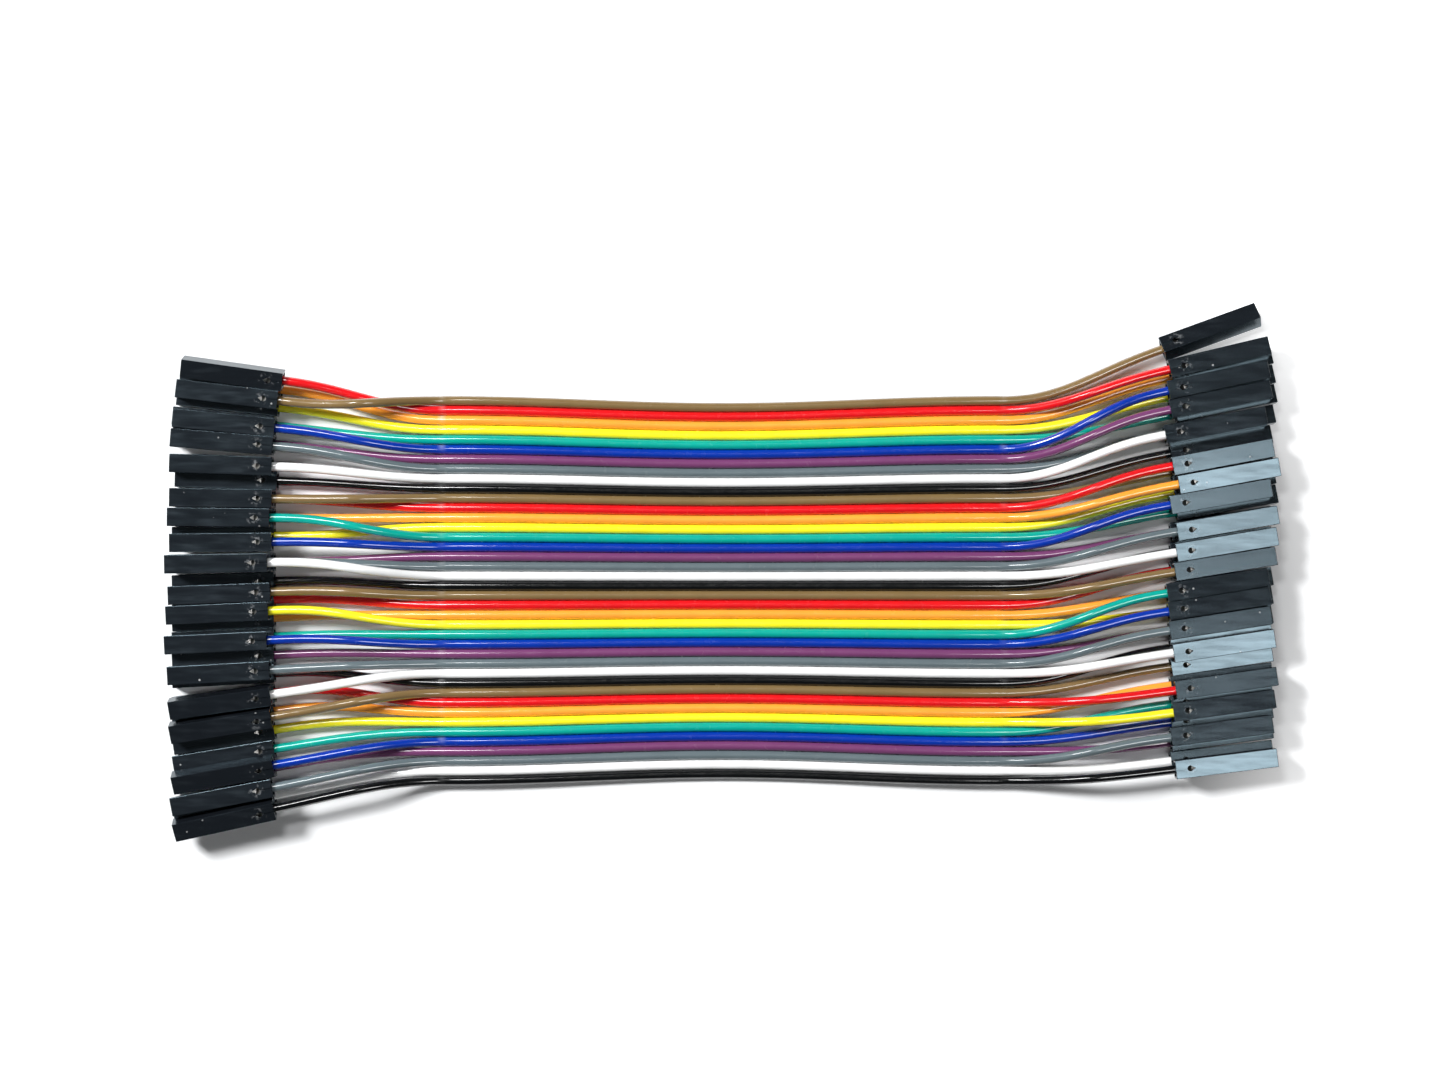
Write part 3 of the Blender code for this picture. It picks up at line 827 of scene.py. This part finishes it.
@dataclass
class JumperWire:
    """One insulated wire: a round tube along its route, closed at both ends."""

    route: WireRoute
    sides: int = 14
    end_round: float = 0.08 * MM
    ripple: float = 0.006
    strand_turn: float = 2.4 * MM
    nick_width: float = 0.1 * MM
    deep_nick: float = 0.9
    faint_nick: float = 0.25
    deep_every: int = 3

    def name(self) -> str:
        """Name of the piece and of the node it stands for."""
        colour = Insulation.of_wire(self.route.wire).name.lower()
        return f"wire_{self.route.wire:02d}_{colour}"

    def angles(self) -> np.ndarray:
        """The angles of a ring's points, round the wire."""
        return np.linspace(0.0, 2.0 * np.pi, self.sides, endpoint=False)

    def radius(self, line: np.ndarray, along: np.ndarray) -> np.ndarray:
        """Radius at each point and angle of the tube.

        It is the wire's own radius, filled out to its neighbours in the bond, with a slight
        helical wave from the twisted strands under the insulation.

        Args:
            line: points of the centreline.
            along: distance along the wire at each point.

        Returns:
            Rows of radii, one for each point.
        """
        inside = WIRE.film_half + WIRE.film_fade - np.abs(line[:, 0])
        bonded = smooth_step(inside / (2.0 * WIRE.film_fade))
        lift = np.minimum((line[:, 0] / WIRE.bond_half) ** 2, 1.0)
        base = WIRE.diameter / 2 + bonded * (WIRE.gap(lift) / 2 + WIRE.film_press)
        twist = 2.0 * np.pi * along[:, None] / self.strand_turn
        wave = np.sin(twist + self.angles()[None, :] * 2.0)
        return base[:, None] * (1.0 + self.ripple * wave)

    def build(self) -> bpy.types.Object:
        """Carry a circle along the route: each ring lies across the wire, a right angle to its run.

        Returns:
            The wire, with its distance along and round it as UV, and a nick mark at the bond's ends.
        """
        line = self.route.points()
        runs = np.linalg.norm(np.diff(line, axis=0), axis=1)
        along = np.concatenate([[0.0], np.cumsum(runs)])
        ahead = np.gradient(line, along, axis=0)
        ahead /= np.linalg.norm(ahead, axis=1)[:, None]
        across = np.cross(ahead, [0.0, 0.0, 1.0])
        across /= np.linalg.norm(across, axis=1)[:, None]
        up = np.cross(across, ahead)
        theta = self.angles()
        ring = np.cos(theta)[None, :, None] * across[:, None, :]
        ring = ring + np.sin(theta)[None, :, None] * up[:, None, :]
        rings = line[:, None, :] + ring * self.radius(line, along)[:, :, None]
        mesh = mesh_from_rings(self.name(), rings[:, ::-1], loop_rings=False)
        self._mark(mesh, line, along)
        shade(mesh, 50.0)
        return add_object(self.name(), mesh)

    def _mark(self, mesh: bpy.types.Mesh, line: np.ndarray, along: np.ndarray) -> None:
        """Store the UV map, centimetres along and turns round, and the nick at the ends of the bond."""
        count = len(along)
        corner_point = np.empty(len(mesh.loops), np.int32)
        mesh.loops.foreach_get("vertex_index", corner_point)
        ring, step = corner_point // self.sides, corner_point % self.sides
        turn = step / self.sides
        quads = (count - 1) * self.sides
        of_quad = turn[: quads * 4].reshape(-1, 4)
        of_quad[(of_quad.max(axis=1) > 0.8)[:, None] & (of_quad < 0.2)] += 1.0
        uv = mesh.uv_layers.new(name="wire")
        values = np.column_stack([along[ring] / 0.01 + self.route.wire * 3.7, turn])
        uv.data.foreach_set("uv", values.ravel())
        near = np.exp(-(((np.abs(line[:, 0]) - WIRE.film_half) / self.nick_width) ** 2))
        upper_side = np.clip(-np.cos(self.angles()), 0.0, 1.0)
        depth = self.faint_nick if self.route.wire % self.deep_every else self.deep_nick
        nick = mesh.attributes.new("nick", "FLOAT", "POINT")
        nick.data.foreach_set("value", (depth * near[:, None] * upper_side[None, :]).ravel())


@dataclass
class Ribbon:
    """The forty wires, each running between its two housings."""

    layout: Layout
    finishes: dict[Insulation, bpy.types.Material]

    def build(self) -> dict[int, bpy.types.Object]:
        """Build and dress every wire."""
        wires = {}
        for number in range(1, WIRE.count + 1):
            wire = JumperWire(WireRoute(number, self.layout))
            piece = wire.build()
            piece.data.materials.append(self.finishes[Insulation.of_wire(number)])
            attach(piece, "root")
            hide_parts(wire.name())
            f"pvc_{Insulation.of_wire(number).name.lower()}"
            wires[number] = piece
            LOG.info("%s: %d faces", piece.name, len(piece.data.polygons))
        return wires

    def declare(
        self, wires: dict[int, bpy.types.Object],
    ) -> None:
        """Work out each wire's centreline and its exit from the left housing; the results are not kept.

        Args:
            wires: the wires by number.
        """
        for number, piece in wires.items():
            route = WireRoute(number, self.layout)
            line = route.points()
            tuple(route.exit())


@dataclass
class SocketPiles:
    """The housings and contacts of both piles, grouped as the part's blocks are."""

    layout: Layout
    plastic: bpy.types.Material
    metal: bpy.types.Material

    def build(self) -> dict[int, list[bpy.types.Object]]:
        """Build both piles.

        Returns:
            The pieces that each wire's ends are in, by wire number.
        """
        housing = SocketHousing().mesh()
        contact = SocketContact().meshes()
        shift = self.layout.shift()
        ends: dict[int, list[bpy.types.Object]] = {}
        for pile in (self.layout.left, self.layout.right):
            for number, block in enumerate(pile.seated, start=1):
                label = f"{pile.side.name.lower()}_{number:02d}"
                node = f"housings_{label}"
                seats = self._dressed(pile.side, block)
                shells = gather(f"shells_{label}", [housing], seats, shift)
                shells.data.materials.append(self.plastic)
                contacts = gather(f"contacts_{label}", contact, seats, shift)
                contacts.data.materials.append(self.metal)
                for piece in (shells, contacts):
                    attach(piece, "root")
                    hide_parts(node)
                for wire in block:
                    ends.setdefault(wire, []).extend([shells, contacts])
                LOG.info("%s: %d housings, %d faces", shells.name, len(seats), len(shells.data.polygons))
        return ends

    @staticmethod
    def _dressed(side: Side, block: dict[int, Seat]) -> list[Seat]:
        """The seats of a block, those of the right pile with their further lean."""
        if side is Side.LEFT:
            return list(block.values())
        leans = {wire: RIGHT_LEANS.get(wire, LOWER_ROW_LEAN) for wire in block}
        return [seat.leaning(math.radians(leans[wire])) for wire, seat in block.items()]


@dataclass(frozen=True)
class Lamp:
    """A flat lamp that faces the middle of the ribbon: place and size in metres, power in watts."""

    name: str
    place: tuple[float, float, float]
    size: tuple[float, float]
    power: float


@dataclass
class Studio:
    """Camera, lights and floor."""

    view_width: float = 0.198
    height: float = 0.5
    focus_z: float = 2.5 * MM
    aim: tuple[float, float] = (0.0, 3.8 * MM)
    sensor: float = 36.0
    floor_half: float = 3.0
    floor_z: float = -0.02 * MM
    # Oval where the floor keeps its shade; beyond it the glow paints light over the shadow beside the
    # right pile.
    shaded_middle: tuple[float, float, float] = (-0.016, -0.004, 0.0)
    shaded_reach: tuple[float, float, float] = (0.094, 0.062, 1.0)
    horizon: float = 0.15
    ceiling: float = 0.035
    lamps: tuple[Lamp, ...] = (
        Lamp("key", (-0.58, 0.32, 0.62), (0.22, 0.22), 13.4),
        Lamp("window", (-0.17, 0.34, 0.75), (0.2, 0.1), 1.85),
        Lamp("softbox", (0.175, -0.055, 0.75), (0.15, 0.19), 0.8),
    )

    def camera(self) -> None:
        """A camera that looks straight down, with the photograph's field."""
        data = bpy.data.cameras.new("camera")
        data.sensor_width = self.sensor
        data.lens = self.sensor * self.height / self.view_width
        data.clip_start = 0.01
        camera = add_object("camera", data)
        camera.location = (*self.aim, self.height + self.focus_z)
        bpy.context.scene.camera = camera

    def floor(self) -> None:
        """A white floor that keeps the object's shadow near the ribbon, goes over into the white
        surround, and by its glow lightens the shadow beside the right pile as painted light.
        """
        corner = np.array([(-1.0, -1.0), (1.0, -1.0), (1.0, 1.0), (-1.0, 1.0)]) * self.floor_half
        mesh = bpy.data.meshes.new("floor")
        mesh.from_pydata(np.column_stack([corner, np.full(4, self.floor_z)]).tolist(), [], [(0, 1, 2, 3)])
        mesh.materials.append(self._floor_white())
        floor = add_object("floor", mesh)

    def _floor_white(self) -> bpy.types.Material:
        """Matt white that also glows away from the ribbon, where only its look counts, as backdrop and as
        painted light over the right pile's shadow.
        """
        bench = Bench("floor_white")
        bench.set(Base_Color=(0.77, 0.78, 0.79, 1.0), Roughness=0.9, Specular_IOR_Level=0.1)
        rays = bench.add("LightPath")
        seen = bench.maths("MAXIMUM", rays.outputs["Is Camera Ray"], rays.outputs["Is Glossy Ray"])
        seen = bench.maths("MAXIMUM", seen, rays.outputs["Is Transmission Ray"])
        oval = bench.add("Mapping", vector_type="TEXTURE")
        oval.inputs["Location"].default_value = self.shaded_middle
        oval.inputs["Scale"].default_value = self.shaded_reach
        bench.join(bench.add("TexCoord").outputs["Object"], oval.inputs["Vector"])
        away = bench.add("VectorMath", operation="LENGTH")
        bench.join(oval.outputs["Vector"], away.inputs[0])
        # Glow outside the oval: backdrop, and painted light that lifts the shadow at the ribbon's right
        # end.
        far = bench.spread(away.outputs["Value"], 0.92, 1.22, 0.0, 0.9)
        glow = bench.add("Emission")
        glow.inputs["Color"].default_value = (1.0, 1.0, 1.0, 1.0)
        bench.join(bench.maths("MULTIPLY", seen, far), glow.inputs["Strength"])
        both = bench.add("AddShader")
        bench.join(bench.shader.outputs["BSDF"], both.inputs[0])
        bench.join(glow.outputs["Emission"], both.inputs[1])
        bench.join(both.outputs["Shader"], bench.tree.nodes["Material Output"].inputs["Surface"])
        return bench.material

    def lamp(self, lamp: Lamp) -> None:
        """Hang one flat soft lamp."""
        data = bpy.data.lights.new(lamp.name, "AREA")
        data.shape = "RECTANGLE"
        data.size, data.size_y = lamp.size
        data.energy = lamp.power
        item = add_object(lamp.name, data)
        item.location = lamp.place
        item.rotation_euler = (-Vector(lamp.place)).to_track_quat("-Z", "Y").to_euler()

    def world(self) -> None:
        """A surround that the camera sees as white, and that lights the object dimly from low down."""
        world = bpy.data.worlds.new("surround")
        world.use_nodes = True
        nodes, links = world.node_tree.nodes, world.node_tree.links
        background = nodes["Background"]
        background.inputs["Color"].default_value = (1.0, 1.0, 1.0, 1.0)
        split = nodes.new("ShaderNodeSeparateXYZ")
        links.new(nodes.new("ShaderNodeTexCoord").outputs["Generated"], split.inputs["Vector"])
        fall = nodes.new("ShaderNodeMapRange")
        levels = {"From Min": 0.1, "From Max": 0.35, "To Min": self.horizon, "To Max": self.ceiling}
        for name, value in levels.items():
            fall.inputs[name].default_value = value
        links.new(split.outputs["Z"], fall.inputs["Value"])
        seen = nodes.new("ShaderNodeMath")
        seen.operation = "MAXIMUM"
        links.new(fall.outputs["Result"], seen.inputs[0])
        links.new(nodes.new("ShaderNodeLightPath").outputs["Is Camera Ray"], seen.inputs[1])
        links.new(seen.outputs["Value"], background.inputs["Strength"])
        bpy.context.scene.world = world

    def build(self) -> None:
        """Set up the whole studio."""
        bpy.context.scene.view_settings.view_transform = "Standard"
        self.camera()
        self.floor()
        self.world()
        for lamp in self.lamps:
            self.lamp(lamp)


COLOURS: dict[Insulation, tuple[float, float, float]] = {
    Insulation.BROWN: (0.2, 0.13, 0.052),
    Insulation.RED: (0.7, 0.006, 0.01),
    Insulation.ORANGE: (0.98, 0.36, 0.04),
    Insulation.YELLOW: (0.95, 0.87, 0.02),
    Insulation.GREEN: (0.0, 0.36, 0.29),
    Insulation.BLUE: (0.0, 0.03, 0.34),
    Insulation.PURPLE: (0.17, 0.045, 0.14),
    Insulation.GREY: (0.115, 0.15, 0.165),
    Insulation.WHITE: (0.92, 0.93, 0.93),
    Insulation.BLACK: (0.001, 0.0015, 0.002),
}


def main() -> None:
    """Build the studio, the wires and the housings."""
    logging.basicConfig(level=logging.INFO, format="%(name)s: %(message)s")
    Studio().build()
    layout = Layout()
    finishes = {name: PvcFinish(name, colour).make() for name, colour in COLOURS.items()}
    ribbon = Ribbon(layout, finishes)
    wires = ribbon.build()
    ends = SocketPiles(layout, SocketPlastic().make(), ContactMetal().make()).build()
    ribbon.declare(wires)


if __name__ == "__main__":
    main()
